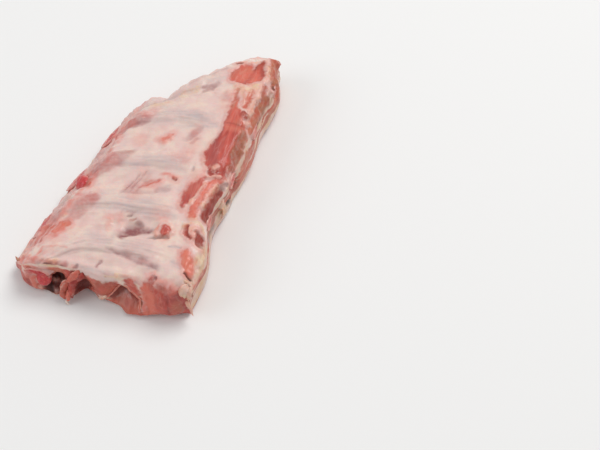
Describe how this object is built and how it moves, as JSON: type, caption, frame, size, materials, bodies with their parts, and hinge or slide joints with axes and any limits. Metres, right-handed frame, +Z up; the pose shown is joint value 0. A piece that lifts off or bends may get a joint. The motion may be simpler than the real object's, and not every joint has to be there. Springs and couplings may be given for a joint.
{
  "type": "pork ribs",
  "caption": "Short rack of raw pork back ribs lying bone side up, with a thin sawn edge, a thick loin edge and a tapered end.",
  "frame": {"origin": "middle of the footprint's box, on the surface that the rack lies on", "axes": "+X across the rack from the thin sawn edge to the thick loin edge, +Y along it from the front cut to the tapered end, +Z up, out of the bone side"},
  "size_m": [0.119, 0.1916, 0.0335],
  "materials": {
    "meat": "raw lean under a pale, moist membrane, with cream fat and bare red muscle along the loin edge",
    "bone": "sawn raw rib bone, pale rim round red marrow"
  },
  "bodies": {
    "root": {"meat": "meat", "rib_bone_1": "bone", "rib_bone_2": "bone", "rib_bone_3": "bone", "rib_bone_4": "bone", "rib_bone_5": "bone"}
  },
  "joints": []
}
